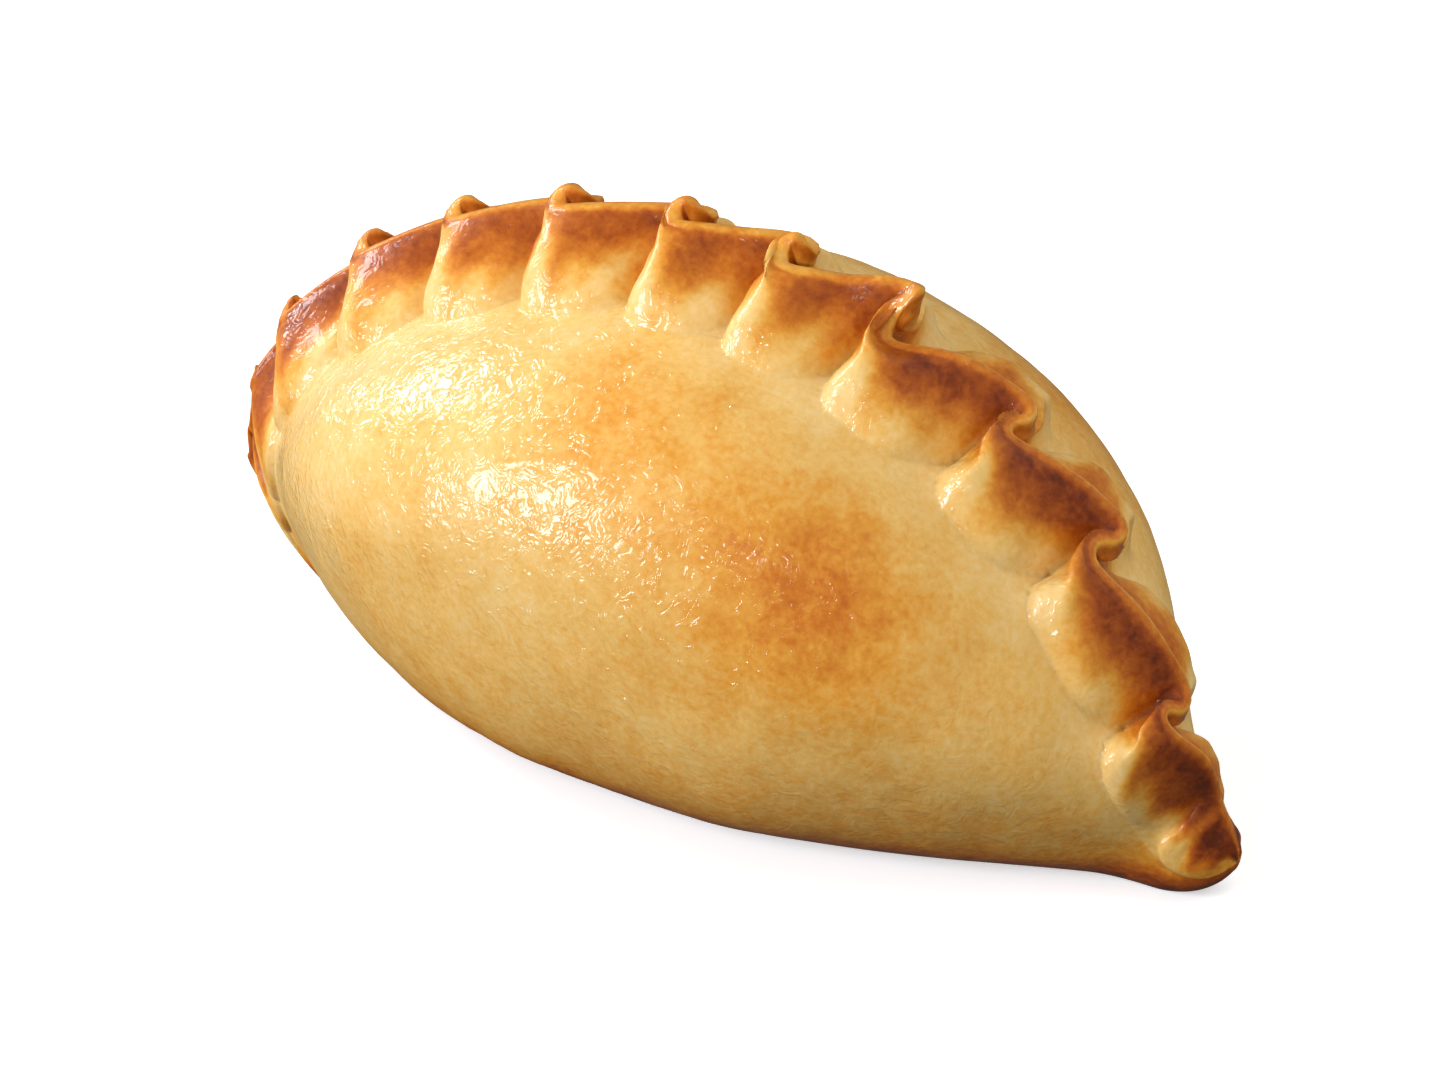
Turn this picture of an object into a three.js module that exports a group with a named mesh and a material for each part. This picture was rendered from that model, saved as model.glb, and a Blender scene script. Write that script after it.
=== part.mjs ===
// Empanada: one baked pastry, a plump half-moon that stands on its base, with a folded seam over its top.
// Millimetres, +Z up. The seam runs along X and the front is -Y.
// The surface is a row of rings fanned along the seam. Each ring blends two sections of the pastry:
// one through a fold's crest and one through the valley between two folds.
import * as THREE from "three";

// Seam: an arch from the blunt left tip to the drawn-out right tip
const SEAM_HALF_LEFT = 69.1;
const SEAM_HALF_RIGHT = 69.9;
const SEAM_HEIGHT = 64.6;
const TIP_HEIGHT_LEFT = 16.0;
const TIP_HEIGHT_RIGHT = 8.5;
const ARCH_LEFT = 1.125;
const ARCH_RIGHT = 1.42;

// Foot line: where the rings meet the base, drawn in from the tips and crowded to the middle
const FOOT_INSET_LEFT = 13.0;
const FOOT_INSET_RIGHT = 9.0;
const FAN_LEFT = 0.367;
const FAN_RIGHT = 0.14;

// Belly: half width at the middle and at the tips, and how fast it thins towards each tip
const BELLY_HALF = 35.2;
const BACK_BELLY = 0.99;
const TIP_HALF_LEFT = 4.0;
const TIP_HALF_RIGHT = 4.6;
const THINNING_LEFT = 1.1;
const THINNING_RIGHT = 1.36;
const BACK_THINNING_RIGHT = 1.24;
const WIDEST_AT = 0.516;
const BASE_SHARE = 0.57;
const SHOULDER_FULLNESS = 0.843;

// Lie of the pastry: both ends bend to the front, and the seam leans to the front, most near the right tip
const BEND_LEFT = -0.8;
const BEND_RIGHT = -2.4;
const SEAM_LEAN = -2.4;
const SEAM_BOW = -4.6;
const SEAM_BOW_AT = 0.87;
const SEAM_BOW_HALF = 0.075;
const SEAM_BOW_HALF_TO_TIP = 0.045;

// Seam fin: the pressed edge that stands on the belly, smaller near the tips
const FIN_HEIGHT = 8.0;
const FIN_SHRINK_LEFT = 10.0;
const FIN_SHRINK_RIGHT = 6.7;
const RIM_HALF_LEFT = 1.0;
const RIM_HALF_RIGHT = 0.65;
const NECK_HALF = 1.6;
const NECK_FILLET = 5.0;

// Knob: the round bulb that the right tip ends in, by its middle and how far it reaches from there
const KNOB_FROM = 0.905;
const KNOB_RUN = 0.105;
const KNOB_MIDDLE = [63.5, -3.6, 5.6];
const KNOB_LENGTH = 6.8;
const KNOB_HALF = 6.4;
const KNOB_RISE = 6.2;
const KNOB_DROP = 8.5;

// Folds: where each one starts along the seam, how far its curl turns back, its tilt and its hood's height
const FOLDS = [
  { start: 0.0, curl: 0.1, tilt: 0.0, hood: 0.0 },
  { start: 0.034, curl: 0.45, tilt: 0.3, hood: 0.3 },
  { start: 0.084, curl: 0.85, tilt: -0.3, hood: 1.8 },
  { start: 0.161, curl: 0.95, tilt: -0.4, hood: 2.2 },
  { start: 0.255, curl: 0.95, tilt: -0.4, hood: 2.4 },
  { start: 0.335, curl: 0.95, tilt: -0.4, hood: 2.2 },
  { start: 0.41, curl: 0.95, tilt: -0.4, hood: 2.2 },
  { start: 0.484, curl: 0.95, tilt: -0.2, hood: 2.4 },
  { start: 0.549, curl: 0.95, tilt: 0.4, hood: 2.6 },
  { start: 0.615, curl: 0.85, tilt: 2.2, hood: 4.4 },
  { start: 0.696, curl: 0.95, tilt: 0.8, hood: 0.4 },
  { start: 0.77, curl: 1.05, tilt: 0.9, hood: 0.3 },
  { start: 0.864, curl: 1.1, tilt: 0.3, hood: 0.2 },
  { start: 0.942, curl: 0.1, tilt: 0.1, hood: 0.0 },
  { start: 1.0, curl: 0.1, tilt: 0.0, hood: 0.0 },
];
const USUAL_FOLD = 15.0;
const FIRST_FOLD_FROM = 0.12;
const LAST_FOLD_TO = 0.8;
const RIGHT_FOLDS_FROM = 0.53;
const RIGHT_FOLDS_BY = 0.68;

// Rim curls: at each fold the edge turns back on itself in an S, and the S straightens out further down
const CURL_TURN_LEFT = THREE.MathUtils.degToRad(180);
const CURL_TURN_RIGHT = THREE.MathUtils.degToRad(150);
const CURL_WIDTH_LEFT = 0.13;
const CURL_WIDTH_RIGHT = 0.11;
const CURL_STEPS = 720;
const SWAY_DEPTH_LEFT = 16.0;
const SWAY_DEPTH_RIGHT = 11.0;
const SLIP_DEPTH_LEFT = 9.0;
const SLIP_DEPTH_RIGHT = 17.0;
const SLIP_SHIFT_LEFT = 0.04;
const EAR_AT = 0.02;
const EAR_HALF = 0.1;
const EAR_ROUNDING = 0.8;
const HOOD_AT = 0.93;
const HOOD_HALF = 0.07;
const RIM_BULGE_LEFT = 0.3;
const RIM_BULGE_RIGHT = 1.0;
const TIGHTEST = 0.75;
const BEAD_LEFT = 0.4;
const BEAD_RIGHT = 0.1;
const BEAD_AT = 0.6;
const BEAD_HALF = 0.8;

// Fold lobe: a cushion that hangs from the rim, with its crest at the left and a rounded toe line below
const CREST_AT = 0.075;
const FOLD_WALL = 0.24;
const LOBE_DROP = 0.7;
const LOBE_POWER_LEFT = 1.7;
const LOBE_POWER_RIGHT = 2.2;
const RIDGE_TOP = 0.16;
const RIDGE_TOE = 0.05;
const RIDGE_HALF_TOP = 0.08;
const RIDGE_HALF_TOE = 0.2;
const LOBE_FROM = 1.6;
const BACK_LOBE_FROM = 9.0;
const TOE_REACH = 18.3;
const TOE_RISE = 8.0;
const TOE_PROUD = 2.2;
const PETAL_PLUMP_LEFT = 0.9;
const PETAL_PLUMP_RIGHT = 1.3;
const BACK_PLUMP_LEFT = 0.4;
const BACK_PLUMP_RIGHT = 2.2;
const TOE_ROUNDING = 5.0;
const FRILL_LEFT = 1.08;
const FRILL_RIGHT = 0.84;

// Mesh fineness
const COLUMNS_PER_FOLD = 12;
const COLUMN_CROWDING = 0.7;
const FIN_ROWS = 9;
const SIDE_ROWS = 7;
const BASE_ROWS = 1;
const TIP_LENGTH_LEFT = 2.5;
const TIP_LENGTH_RIGHT = 0.3;
const TIP_RINGS = 2;
const TIP_MARGIN = 0.003;
const FOLD_FADE_AT_TIPS = 0.03;

const DOUGH = { color: 0xe0ab57, roughness: 0.45, metalness: 0.0 };

const clamp = (x, low, high) => Math.min(high, Math.max(low, x));
const mix = (a, b, share) => a + (b - a) * share;

function ease(x) {
  const c = clamp(x, 0, 1);
  return c * c * (3 - 2 * c);
}

function seamPoint(t) {
  const angle = Math.PI * t;
  const left = t < 0.5;
  const tip = mix(TIP_HEIGHT_LEFT, TIP_HEIGHT_RIGHT, ease(t));
  const half = left ? SEAM_HALF_LEFT : SEAM_HALF_RIGHT;
  const power = left ? ARCH_LEFT : ARCH_RIGHT;
  return { x: -half * Math.cos(angle), z: tip + (SEAM_HEIGHT - tip) * Math.sin(angle) ** power };
}

// How far along the foot line a ring stands, from -1 at the left end to 1 at the right end
function footShare(t) {
  const c = Math.cos(Math.PI * t);
  const fan = c > 0 ? FAN_LEFT : FAN_RIGHT;
  return -c * (fan + (1 - fan) * c * c);
}

function footX(share) {
  const half = share < 0 ? SEAM_HALF_LEFT - FOOT_INSET_LEFT : SEAM_HALF_RIGHT - FOOT_INSET_RIGHT;
  return half * share;
}

function bellyHalf(share, thinningRight) {
  const thinning = share < 0 ? THINNING_LEFT : thinningRight;
  const tip = share < 0 ? TIP_HALF_LEFT : TIP_HALF_RIGHT;
  return mix(tip, BELLY_HALF, Math.max(0, 1 - share * share) ** thinning);
}

// How much a place along the seam belongs to the plump folds of the right half
const rightFolds = (t) => ease((t - RIGHT_FOLDS_FROM) / (RIGHT_FOLDS_BY - RIGHT_FOLDS_FROM));

// How fast the values change, for values that are a fold's length apart from first to last
function changes(values) {
  return values.map((value, i) => {
    const low = Math.max(0, i - 1);
    const high = Math.min(values.length - 1, i + 1);
    return ((values[high] - values[low]) / (high - low)) * values.length;
  });
}

// The edge of one fold seen from above, for a fold of length 1: its course, its pace and its bending
function foldCurve(mostTurn, width) {
  const turns = [];
  for (let i = 0; i < CURL_STEPS; i += 1) {
    const u = (i + 0.5) / CURL_STEPS;
    turns.push(mostTurn * Math.exp(-((Math.min(u, 1 - u) / width) ** 2)));
  }
  const total = (wave, slant) => turns.reduce((sum, turn) => sum + wave(slant + turn), 0);
  let low = -Math.PI / 2;
  let high = 0;
  for (let i = 0; i < 40; i += 1) {
    const middle = (low + high) / 2;
    if (total(Math.sin, middle) > 0) high = middle;
    else low = middle;
  }
  const pace = CURL_STEPS / total(Math.cos, low);
  const along = turns.map((turn) => pace * Math.cos(low + turn));
  const across = turns.map((turn) => pace * Math.sin(low + turn));
  const courseAlong = [0];
  const courseAcross = [0];
  for (let i = 0; i < CURL_STEPS; i += 1) {
    courseAlong.push(courseAlong[i] + along[i] / CURL_STEPS);
    courseAcross.push(courseAcross[i] + across[i] / CURL_STEPS);
  }
  return {
    along,
    across,
    courseAlong,
    courseAcross,
    bendAlong: changes(along),
    bendAcross: changes(across),
    sway: Math.max(...courseAcross),
  };
}

const LEFT_CURVE = foldCurve(CURL_TURN_LEFT, CURL_WIDTH_LEFT);
const RIGHT_CURVE = foldCurve(CURL_TURN_RIGHT, CURL_WIDTH_RIGHT);

function between(values, place) {
  const i = clamp(Math.floor(place), 0, values.length - 2);
  return mix(values[i], values[i + 1], clamp(place - i, 0, 1));
}

// The edge at a place in the fold: its slip and sway, how fast it runs along and across, and its bending
function curlAt(fraction, right) {
  const place = fraction * CURL_STEPS;
  const both = (key, at) => mix(between(LEFT_CURVE[key], at), between(RIGHT_CURVE[key], at), right);
  return {
    slip: both("courseAlong", place) - fraction + SLIP_SHIFT_LEFT * (1 - right),
    sway: both("courseAcross", place),
    along: both("along", place - 0.5) - 1,
    across: both("across", place - 0.5),
    bendAlong: both("bendAlong", place - 0.5),
    bendAcross: both("bendAcross", place - 0.5),
  };
}

// A value that belongs to each curl, carried over from one curl to the next along the fold
function alongFold(key, fold, fraction) {
  return mix(FOLDS[fold][key], FOLDS[fold + 1][key], ease((fraction - 0.3) / 0.4));
}

// How far past a fold's crest a place lies, as a share of the fold
const pastCrest = (fraction) => (fraction - CREST_AT + 1) % 1;

// Bump of 1 at a fold's crest
function crestBump(past, halfWidth) {
  return Math.exp(-((Math.min(past, 1 - past) / halfWidth) ** 2));
}

// How far the edge is lifted: an ear or a hood over each curl, a bulge between, and a tilt from front to back
function rimLift(fold, fraction, right) {
  const sway = curlAt(fraction, right).sway / RIGHT_CURVE.sway;
  const bulge = mix(RIM_BULGE_LEFT, RIM_BULGE_RIGHT, right) * Math.sin(Math.PI * fraction) ** 2;
  const pastEar = (fraction - EAR_AT + 1) % 1;
  const ear = Math.max(0, 1 - (Math.min(pastEar, 1 - pastEar) / EAR_HALF) ** 2) ** EAR_ROUNDING;
  const hood = mix(ear, crestBump((fraction - HOOD_AT + 1) % 1, HOOD_HALF), right);
  return alongFold("hood", fold, fraction) * hood + bulge - alongFold("tilt", fold, fraction) * sway;
}

// Quarter-round edge: 1 inside, 0 at the edge
const quarterRound = (x) => Math.sqrt(1 - Math.min(1, x) ** 2);
const nearToeLine = (line, d) => clamp(1 - (line - d) / TOE_ROUNDING, 0, 1);

// How far a fold stands out at a distance d from the rim: most at its crest, none past its toe line
function lobeHeight(fraction, d, side, right) {
  const past = pastCrest(fraction);
  const run = 1 - FOLD_WALL;
  const down = ease(d / TOE_REACH);
  const ridge = side > 0 ? mix(RIDGE_TOP, RIDGE_TOE, down) : 0;
  const crest = 1 + ridge * crestBump(past, mix(RIDGE_HALF_TOP, RIDGE_HALF_TOE, down));
  if (past < run) {
    const share = past / run;
    const toeLine = TOE_REACH - TOE_RISE * share ** 4;
    const drop = LOBE_DROP * share ** mix(LOBE_POWER_LEFT, LOBE_POWER_RIGHT, right);
    return (crest - drop) * quarterRound(nearToeLine(toeLine, d));
  }
  const under = (1 - LOBE_DROP) * quarterRound(nearToeLine(TOE_REACH - TOE_RISE, d));
  const crease = (1 - past) / FOLD_WALL;
  if (side < 0) return mix(under, quarterRound(nearToeLine(TOE_REACH, d)), ease(1 - crease));
  return mix(under, crest, quarterRound(Math.hypot(crease, nearToeLine(TOE_REACH, d))));
}

// Valley section as [height along the ring, half width] points, from the rim down to the base's middle
function valleySection(height, belly, scale, rimHalf) {
  const thickness = mix(0.5, 1, scale);
  const rim = rimHalf * thickness;
  const neckHalf = NECK_HALF * thickness;
  const top = height - FIN_HEIGHT * scale;
  const widest = WIDEST_AT * top;
  const flat = BASE_SHARE * belly;
  const shoulder = Math.min(neckHalf + 0.75 * NECK_FILLET * scale, 0.85 * belly);
  const neck = Math.min(neckHalf, 0.7 * shoulder);
  const points = [];
  for (let i = 0; i <= 20; i += 1) {
    const a = (Math.PI / 2) * (i / 20 - 1);
    points.push([widest * (1 + Math.sin(a)), flat + (belly - flat) * Math.cos(a)]);
  }
  const last = Math.acos((shoulder / belly) ** (1 / SHOULDER_FULLNESS));
  for (let i = 1; i <= 36; i += 1) {
    const a = (last * i) / 36;
    const up = Math.sin(a) ** SHOULDER_FULLNESS;
    points.push([widest + (top - widest) * up, belly * Math.cos(a) ** SHOULDER_FULLNESS]);
  }
  const [v0, y0] = points[points.length - 1];
  const [v1, y1] = points[points.length - 2];
  const slope = Math.atan2(v0 - v1, y1 - y0);
  const reach = (y0 - neck) / (1 - Math.sin(slope));
  const rise = Math.min(reach, 0.8 * (height - rim - v0));
  for (let i = 1; i <= 12; i += 1) {
    const a = mix(slope, Math.PI / 2, i / 12);
    points.push([v0 + rise * (Math.cos(slope) - Math.cos(a)), y0 - reach * (Math.sin(a) - Math.sin(slope))]);
  }
  const finStart = points[points.length - 1][0];
  for (let i = 1; i <= 8; i += 1) {
    points.push([mix(finStart, height - rim, i / 8), mix(neck, rim, i / 8)]);
  }
  for (let i = 1; i <= 6; i += 1) {
    const a = (Math.PI / 2) * (i / 6);
    points.push([height - rim + rim * Math.sin(a), rim * Math.cos(a)]);
  }
  points.reverse();
  points.push([0, 0]);
  return points;
}

function measure(points) {
  const marks = [0];
  for (let i = 1; i < points.length; i += 1) {
    const step = Math.hypot(points[i][0] - points[i - 1][0], points[i][1] - points[i - 1][1]);
    marks.push(marks[i - 1] + step);
  }
  return marks;
}

function pointAt(points, marks, distance) {
  let i = 1;
  while (i < points.length - 1 && marks[i] < distance) i += 1;
  const share = clamp((distance - marks[i - 1]) / (marks[i] - marks[i - 1]), 0, 1);
  return [mix(points[i - 1][0], points[i][0], share), mix(points[i - 1][1], points[i][1], share)];
}

// Distances from the rim at which a section is cut into rows
function rowDistances(finZone, baseEdge, total) {
  const rows = [];
  for (let i = 0; i < FIN_ROWS; i += 1) rows.push((finZone * i) / FIN_ROWS);
  for (let i = 0; i < SIDE_ROWS; i += 1) rows.push(mix(finZone, baseEdge, i / SIDE_ROWS));
  for (let i = 0; i <= BASE_ROWS; i += 1) rows.push(mix(baseEdge, total, i / BASE_ROWS));
  return rows;
}

// One side of a ring from the rim to the base: height, half width, slip along the seam and turn about the ring
function halfRing(section, scale, fraction, edge, strength, side) {
  const { right } = strength;
  const marks = measure(section);
  const total = marks[marks.length - 1];
  const baseEdge = marks[marks.length - 2];
  const reach = Math.min(TOE_REACH * scale, 0.65 * total);
  const rim = section[0];
  const atToe = pointAt(section, marks, reach);
  const pastToe = pointAt(section, marks, reach + 0.3 * scale);
  const tangentLength = Math.hypot(pastToe[0] - atToe[0], pastToe[1] - atToe[1]);
  const outV = (pastToe[1] - atToe[1]) / tangentLength;
  const outY = -(pastToe[0] - atToe[0]) / tangentLength;
  const toe = [atToe[0] + outV * TOE_PROUD * scale, atToe[1] + outY * TOE_PROUD * scale];
  const chord = [toe[0] - rim[0], toe[1] - rim[1]];
  const chordLength = Math.hypot(chord[0], chord[1]);
  const finZone = Math.min((TOE_REACH + 2.5) * scale, 0.7 * total);
  return rowDistances(finZone, baseEdge, total).map((distance) => {
    const valley = pointAt(section, marks, distance);
    const d = distance / scale;
    const share = clamp(d / TOE_REACH, 0, 1);
    const frontPlump = mix(PETAL_PLUMP_LEFT, PETAL_PLUMP_RIGHT, right) * Math.sin(Math.PI * share);
    const backPlump = mix(BACK_PLUMP_LEFT, BACK_PLUMP_RIGHT, right) * Math.sin(Math.PI * share * share);
    const plump = ((side > 0 ? frontPlump : backPlump) * scale) / chordLength;
    const petal = [rim[0] + chord[0] * share + chord[1] * plump, rim[1] + chord[1] * share - chord[0] * plump];
    const grown = ease(d / (side > 0 ? LOBE_FROM : BACK_LOBE_FROM));
    const weight = lobeHeight(fraction, d, side, right) * strength.lobe * grown;
    const v = mix(valley[0], petal[0], weight);
    const y = mix(valley[1], petal[1], weight);
    const swing = strength.curl * (1 - ease(d / mix(SWAY_DEPTH_LEFT, SWAY_DEPTH_RIGHT, right)));
    const shove = strength.curl * (1 - ease(d / mix(SLIP_DEPTH_LEFT, SLIP_DEPTH_RIGHT, right)));
    const pace = Math.hypot(1 + shove * edge.along, swing * edge.across);
    const beadSize = mix(BEAD_LEFT, BEAD_RIGHT, right) * scale * strength.lobe;
    const bead = beadSize * Math.exp(-(((d - BEAD_AT) / BEAD_HALF) ** 2));
    const sheet = Math.min(y, NECK_HALF * scale) + bead;
    const turning = (1 + shove * edge.along) * edge.bendAcross - shove * edge.across * edge.bendAlong;
    const inward = Math.max(1e-6, (side * swing * turning) / (strength.length * pace ** 3));
    const held = Math.min(sheet, TIGHTEST / inward);
    const upright = (held * (1 + shove * edge.along)) / pace;
    return {
      v: v + strength.rise * (1 - ease(d / 8)),
      y: y + bead - sheet + upright + side * strength.length * swing * edge.sway,
      slip: strength.length * shove * edge.slip - (side * held * swing * edge.across) / pace,
      turn: (Math.PI * distance) / total,
    };
  });
}

// Point of the knob at a share of the way to its end; turn runs from 0 on top to half a turn at the base
function knobPoint(share, turn, side) {
  const [x, y, z] = KNOB_MIDDLE;
  const size = Math.cos((share * Math.PI) / 2);
  const out = KNOB_HALF * size * Math.max(0, Math.sin(turn)) ** 0.8;
  const up = (Math.cos(turn) > 0 ? KNOB_RISE : KNOB_DROP) * size * Math.cos(turn);
  const far = x + KNOB_LENGTH * Math.sin((share * Math.PI) / 2);
  return new THREE.Vector3(far, y - side * out, Math.max(0, z + up));
}

// One closed ring of points: up the front, over the rim and down the back
function ring(phase) {
  const fold = clamp(Math.floor(phase), 0, FOLDS.length - 2);
  const inFold = phase - fold;
  const from = fold === 0 ? FIRST_FOLD_FROM : 0;
  const to = fold === FOLDS.length - 2 ? LAST_FOLD_TO : 1;
  const fraction = mix(from, to, inFold);
  const start = FOLDS[fold].start;
  const end = FOLDS[fold + 1].start;
  const t = TIP_MARGIN + (1 - 2 * TIP_MARGIN) * mix(start, end, inFold);
  const seam = seamPoint(t);
  const share = footShare(t);
  const foot = footX(share);
  const height = Math.hypot(seam.x - foot, seam.z);
  const upX = (seam.x - foot) / height;
  const upZ = seam.z / height;
  const before = seamPoint(t - TIP_MARGIN / 2);
  const after = seamPoint(t + TIP_MARGIN / 2);
  const step = Math.hypot(after.x - before.x, after.z - before.z);
  const alongX = (after.x - before.x) / step;
  const alongZ = (after.z - before.z) / step;
  const shrink = share < 0 ? FIN_SHRINK_LEFT : FIN_SHRINK_RIGHT;
  const fin = ((height / (height + shrink)) * (SEAM_HEIGHT + shrink)) / SEAM_HEIGHT;
  const scale = fin * mix(FRILL_LEFT, FRILL_RIGHT, ease(t));
  const lobe = ease(t / FOLD_FADE_AT_TIPS) * ease((1 - t) / FOLD_FADE_AT_TIPS);
  const startPoint = seamPoint(start);
  const endPoint = seamPoint(end);
  const length = Math.hypot(endPoint.x - startPoint.x, endPoint.z - startPoint.z);
  const right = rightFolds(t);
  const strength = {
    lobe,
    right,
    length,
    curl: lobe * Math.min(1, Math.sqrt(length / USUAL_FOLD)) * alongFold("curl", fold, fraction),
    rise: lobe * scale * rimLift(fold, fraction, right),
  };
  const edge = curlAt(fraction, right);
  const rimHalf = mix(RIM_HALF_LEFT, RIM_HALF_RIGHT, right);
  const frontBelly = bellyHalf(share, THINNING_RIGHT);
  const backBelly = bellyHalf(share, BACK_THINNING_RIGHT) * BACK_BELLY;
  const frontSection = valleySection(height, frontBelly, scale, rimHalf);
  const backSection = valleySection(height, backBelly, scale, rimHalf);
  const front = halfRing(frontSection, scale, fraction, edge, strength, 1);
  const back = halfRing(backSection, scale, 1 - fraction, edge, strength, -1);
  const bend = (share < 0 ? BEND_LEFT : BEND_RIGHT) * share * share;
  const bowHalf = t < SEAM_BOW_AT ? SEAM_BOW_HALF : SEAM_BOW_HALF_TO_TIP;
  const lean = SEAM_LEAN + SEAM_BOW * Math.exp(-(((t - SEAM_BOW_AT) / bowHalf) ** 2));
  const knob = clamp((t - KNOB_FROM) / KNOB_RUN, 0, 1);
  const place = ({ v, y, slip, turn }, side) => {
    const shift = bend + lean * clamp(v / height, 0, 1) ** 1.5;
    const point = new THREE.Vector3(foot + v * upX + slip * alongX, shift - side * y, v * upZ + slip * alongZ);
    return point.lerp(knobPoint(knob, turn, side), ease(knob));
  };
  const points = front.map((p) => place(p, 1)).reverse();
  for (const p of back.slice(1, -1)) points.push(place(p, -1));
  return points;
}

function middleOf(points) {
  const sum = new THREE.Vector3();
  for (const p of points) sum.add(p);
  return sum.divideScalar(points.length);
}

// Rounded end of the pastry beyond its last ring: smaller rings and the tip's point
function roundedTip(points, length) {
  const middle = middleOf(points);
  const rings = [];
  for (let i = 1; i <= TIP_RINGS; i += 1) {
    const a = ((Math.PI / 2) * i) / (TIP_RINGS + 1);
    const offset = length * Math.sin(a);
    rings.push(
      points.map((p) => {
        const q = p.clone().sub(middle).multiplyScalar(Math.cos(a)).add(middle);
        q.x += offset;
        return q;
      })
    );
  }
  const point = middle.clone();
  point.x += length;
  return { rings, point };
}

function pastryGeometry() {
  const columns = (FOLDS.length - 1) * COLUMNS_PER_FOLD;
  const rings = [];
  for (let i = 0; i <= columns; i += 1) {
    const c = i / COLUMNS_PER_FOLD;
    rings.push(ring(c - (COLUMN_CROWDING * Math.sin(2 * Math.PI * c)) / (2 * Math.PI)));
  }
  const left = roundedTip(rings[0], -TIP_LENGTH_LEFT);
  const right = roundedTip(rings[rings.length - 1], TIP_LENGTH_RIGHT);
  const all = [...left.rings.reverse(), ...rings, ...right.rings];
  const size = all[0].length;
  const vertices = all.flat();
  vertices.push(left.point, right.point);
  const box = new THREE.Box3().setFromPoints(vertices);
  const centre = box.getCenter(new THREE.Vector3());
  const positions = [];
  for (const p of vertices) positions.push(p.x - centre.x, p.y - centre.y, p.z - box.min.z);
  const faces = [];
  for (let i = 0; i < all.length - 1; i += 1) {
    for (let j = 0; j < size; j += 1) {
      const a = i * size + j;
      const b = i * size + ((j + 1) % size);
      faces.push(a, a + size, b + size, a, b + size, b);
    }
  }
  const lastRing = (all.length - 1) * size;
  const leftPoint = all.length * size;
  for (let j = 0; j < size; j += 1) {
    const next = (j + 1) % size;
    faces.push(leftPoint, j, next);
    faces.push(leftPoint + 1, lastRing + next, lastRing + j);
  }
  const geometry = new THREE.BufferGeometry();
  geometry.setAttribute("position", new THREE.Float32BufferAttribute(positions, 3));
  geometry.setIndex(faces);
  geometry.computeVertexNormals();
  return geometry;
}

const pastry = new THREE.Mesh(pastryGeometry(), new THREE.MeshStandardMaterial(DOUGH));
pastry.name = "empanada";

const part = new THREE.Group();
part.name = "baked_empanada";
part.add(pastry);

export default part;
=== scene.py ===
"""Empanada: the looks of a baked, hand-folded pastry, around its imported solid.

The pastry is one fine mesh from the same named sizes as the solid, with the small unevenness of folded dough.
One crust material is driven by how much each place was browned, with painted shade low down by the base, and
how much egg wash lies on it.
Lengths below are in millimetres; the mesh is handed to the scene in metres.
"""
import math

import bpy
import numpy as np
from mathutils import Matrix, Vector, noise


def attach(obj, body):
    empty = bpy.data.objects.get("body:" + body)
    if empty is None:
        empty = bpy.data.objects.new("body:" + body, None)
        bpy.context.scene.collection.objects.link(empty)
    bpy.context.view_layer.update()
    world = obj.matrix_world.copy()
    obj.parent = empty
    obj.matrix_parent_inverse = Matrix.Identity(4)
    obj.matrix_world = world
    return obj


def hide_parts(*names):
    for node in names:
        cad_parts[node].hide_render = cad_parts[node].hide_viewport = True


MM = 0.001

# Seam: an arch from the blunt left tip to the drawn-out right tip
SEAM_HALF_LEFT = 69.1
SEAM_HALF_RIGHT = 69.9
SEAM_HEIGHT = 64.6
TIP_HEIGHT_LEFT = 16.0
TIP_HEIGHT_RIGHT = 8.5
ARCH_LEFT = 1.125
ARCH_RIGHT = 1.42

# Foot line: where the rings meet the base, drawn in from the tips and crowded to the middle
FOOT_INSET_LEFT = 13.0
FOOT_INSET_RIGHT = 9.0
FAN_LEFT = 0.367
FAN_RIGHT = 0.14

# Belly: half width at the middle and at the tips, and how fast it thins towards each tip
BELLY_HALF = 35.2
BACK_BELLY = 0.99
TIP_HALF_LEFT = 4.0
TIP_HALF_RIGHT = 4.6
THINNING_LEFT = 1.10
THINNING_RIGHT = 1.36
BACK_THINNING_RIGHT = 1.24
WIDEST_AT = 0.516
BASE_SHARE = 0.57
SHOULDER_FULLNESS = 0.843

# Lie of the pastry: both ends bend to the front, and the seam leans to the front, most near the right tip
BEND_LEFT = -0.8
BEND_RIGHT = -2.4
SEAM_LEAN = -2.4
LEAN_POWER = 1.5
SEAM_BOW = -4.6
SEAM_BOW_AT = 0.87
SEAM_BOW_HALF = 0.075
SEAM_BOW_HALF_TO_TIP = 0.045

# Seam fin: the pressed edge that stands on the belly, smaller near the tips
FIN_HEIGHT = 8.0
FIN_SHRINK_LEFT = 10.0
FIN_SHRINK_RIGHT = 6.7
RIM_HALF_LEFT = 1.0
RIM_HALF_RIGHT = 0.65
NECK_HALF = 1.6
NECK_FILLET = 5.0

# Limits that keep a section in shape where it gets small near the tips
THINNEST_SHEET = 0.5
FILLET_START = 0.75
FILLET_MOST = 0.8
SHOULDER_MOST = 0.85
NECK_MOST = 0.7
TOE_MOST = 0.65
FOLD_ZONE_MOST = 0.7

# Knob: the round bulb that the right tip ends in, by its middle and how far it reaches from there
KNOB_FROM = 0.905
KNOB_RUN = 0.105
KNOB_MIDDLE = (63.5, -3.6, 5.6)
KNOB_LENGTH = 6.8
KNOB_HALF = 6.4
KNOB_RISE = 6.2
KNOB_DROP = 8.5
KNOB_ROUNDING = 0.8

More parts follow.
